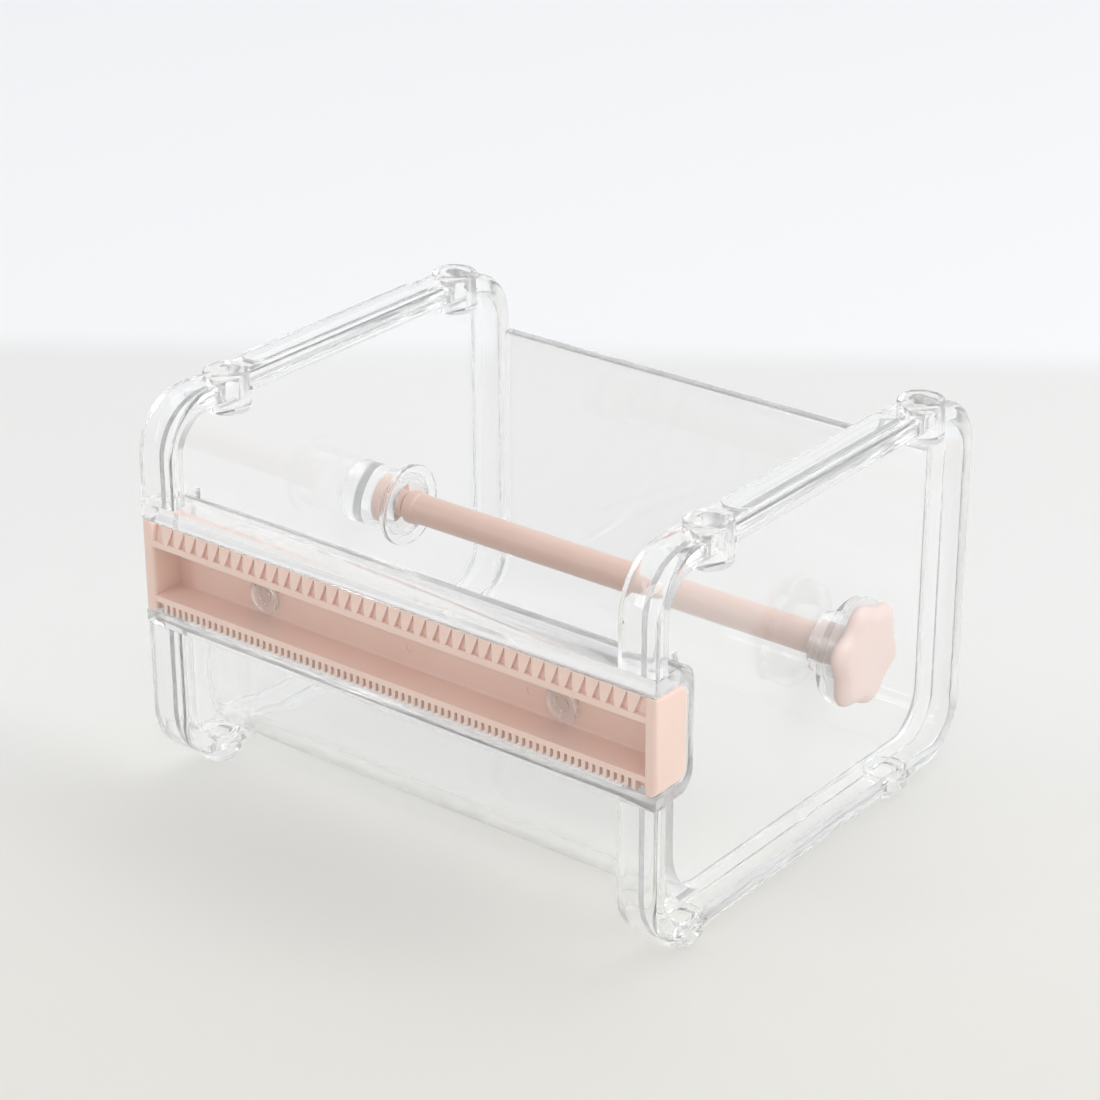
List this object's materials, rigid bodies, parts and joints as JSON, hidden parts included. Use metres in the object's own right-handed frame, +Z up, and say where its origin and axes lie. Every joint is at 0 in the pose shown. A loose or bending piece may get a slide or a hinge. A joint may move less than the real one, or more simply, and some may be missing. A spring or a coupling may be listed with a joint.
{
  "type": "desktop tape dispenser",
  "caption": "Clear stackable desk dispenser for narrow decorative tape, with a toothed pink cutter strip and a pull-out spindle turned by a lobed knob.",
  "frame": {"origin": "centre of the whole object's footprint, on the surface that its feet stand on", "axes": "+Z up, +X towards the knob, -Y towards the cutter"},
  "size_m": [0.1036, 0.082, 0.0651],
  "materials": {
    "clear_plastic": "clear polished styrene",
    "pink_plastic": "dusty pink, satin moulded"
  },
  "bodies": {
    "dispenser": {"left_rim": "clear_plastic", "right_rim": "clear_plastic", "left_panel": "clear_plastic", "right_panel": "clear_plastic", "tray": "clear_plastic", "cutter_holder": "clear_plastic", "cutter_strip": "pink_plastic", "left_stake": "clear_plastic", "right_stake": "clear_plastic", "left_boss": "clear_plastic", "right_hub": "clear_plastic"},
    "bush": {"spindle_bush": "pink_plastic"},
    "spindle": {"spindle_shaft": "pink_plastic", "spindle_knob": "pink_plastic"}
  },
  "joints": [
    {"name": "spindle_spin", "type": "hinge", "parent": "dispenser", "child": "bush", "pos_m": [-0.00265, 0.0055, 0.0343], "axis": [1, 0, 0], "continuous": true},
    {"name": "spindle_pull", "type": "slide", "parent": "bush", "child": "spindle", "axis": [1, 0, 0], "range_m": [0, 0.09]}
  ]
}
